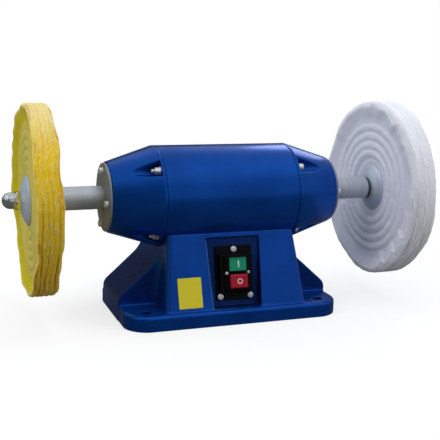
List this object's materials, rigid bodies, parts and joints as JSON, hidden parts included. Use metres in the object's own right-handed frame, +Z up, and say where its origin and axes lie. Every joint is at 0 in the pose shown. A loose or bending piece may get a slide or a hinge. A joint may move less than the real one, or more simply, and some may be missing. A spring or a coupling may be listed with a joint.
{
  "type": "polishing machine",
  "caption": "Bench polishing machine: motor on a cast stand, push button switch, and a cloth wheel clamped on each end of its shaft.",
  "frame": {"origin": "on the floor under the middle of the shaft", "axes": "+X along the shaft towards the white wheel, -Y towards the operator and the switch, +Z up"},
  "size_m": [0.608, 0.25, 0.2925],
  "materials": {
    "stand_paint": "gloss enamel on cast iron",
    "motor_paint": "gloss enamel",
    "cap_grey": "machined, satin",
    "dark_sheet": "matt black sheet",
    "zinc_screws": "bright zinc",
    "turned_steel": "turned, satin",
    "flange_steel": "satin",
    "nut_chrome": "bright chrome",
    "core_steel": "varnished laminations",
    "copper_winding": "enamelled copper wire",
    "white_cloth": "stitched cotton layers",
    "yellow_cloth": "stiffened cotton layers",
    "black_plastic": "moulded, satin",
    "green_plastic": "moulded, gloss",
    "red_plastic": "moulded, gloss",
    "cream_plastic": "moulded"
  },
  "bodies": {
    "stand": {"base_casting": "stand_paint", "motor_tube": "motor_paint", "left_end_bell": "motor_paint", "right_end_bell": "motor_paint", "left_bearing_cap": "cap_grey", "right_bearing_cap": "cap_grey", "bottom_cover": "dark_sheet", "cover_screw_1": "zinc_screws", "cover_screw_2": "zinc_screws", "cover_screw_3": "zinc_screws", "cover_screw_4": "zinc_screws", "casing_screw_1": "zinc_screws", "casing_screw_2": "zinc_screws", "casing_screw_3": "zinc_screws", "switch_screw_1": "zinc_screws", "switch_screw_2": "zinc_screws", "saddle_bolt_1": "zinc_screws", "saddle_bolt_2": "zinc_screws", "tie_bolt_1": "zinc_screws", "tie_bolt_2": "zinc_screws", "tie_bolt_3": "zinc_screws", "tie_bolt_4": "zinc_screws", "tie_bolt_nut_1": "zinc_screws", "tie_bolt_nut_2": "zinc_screws", "tie_bolt_nut_3": "zinc_screws", "tie_bolt_nut_4": "zinc_screws", "left_cap_screw_1": "zinc_screws", "left_cap_screw_2": "zinc_screws", "left_cap_screw_3": "zinc_screws", "left_cap_screw_4": "zinc_screws", "right_cap_screw_1": "zinc_screws", "right_cap_screw_2": "zinc_screws", "right_cap_screw_3": "zinc_screws", "right_cap_screw_4": "zinc_screws", "capacitor_clamp": "zinc_screws", "left_bearing_outer_ring": "turned_steel", "right_bearing_outer_ring": "turned_steel", "stator_core": "core_steel", "left_end_winding": "copper_winding", "right_end_winding": "copper_winding", "switch_casing": "black_plastic", "switch_body": "black_plastic", "cable_gland": "black_plastic", "run_capacitor": "cream_plastic"},
    "spindle": {"spindle_shaft": "turned_steel", "rotor_core": "core_steel", "left_bearing_inner_ring": "turned_steel", "left_spacer_sleeve": "turned_steel", "left_inner_flange": "flange_steel", "left_buffing_wheel": "yellow_cloth", "left_outer_flange": "flange_steel", "left_acorn_nut": "nut_chrome", "right_bearing_inner_ring": "turned_steel", "right_spacer_sleeve": "turned_steel", "right_inner_flange": "flange_steel", "right_buffing_wheel": "white_cloth", "right_outer_flange": "flange_steel", "right_acorn_nut": "nut_chrome"},
    "on_button": {"on_button": "green_plastic"},
    "off_button": {"off_button": "red_plastic"}
  },
  "joints": [
    {"name": "spindle_spin", "type": "hinge", "parent": "stand", "child": "spindle", "pos_m": [0, 0, 0.1675], "axis": [1, 0, 0], "continuous": true},
    {"name": "on_press", "type": "slide", "parent": "stand", "child": "on_button", "axis": [0, 0.9806, -0.1959], "range_m": [0, 0.003], "stiffness_N_per_m": 300, "springref_m": -0.002},
    {"name": "off_press", "type": "slide", "parent": "stand", "child": "off_button", "axis": [0, 0.9806, -0.1959], "range_m": [0, 0.003], "stiffness_N_per_m": 300, "springref_m": -0.002}
  ]
}
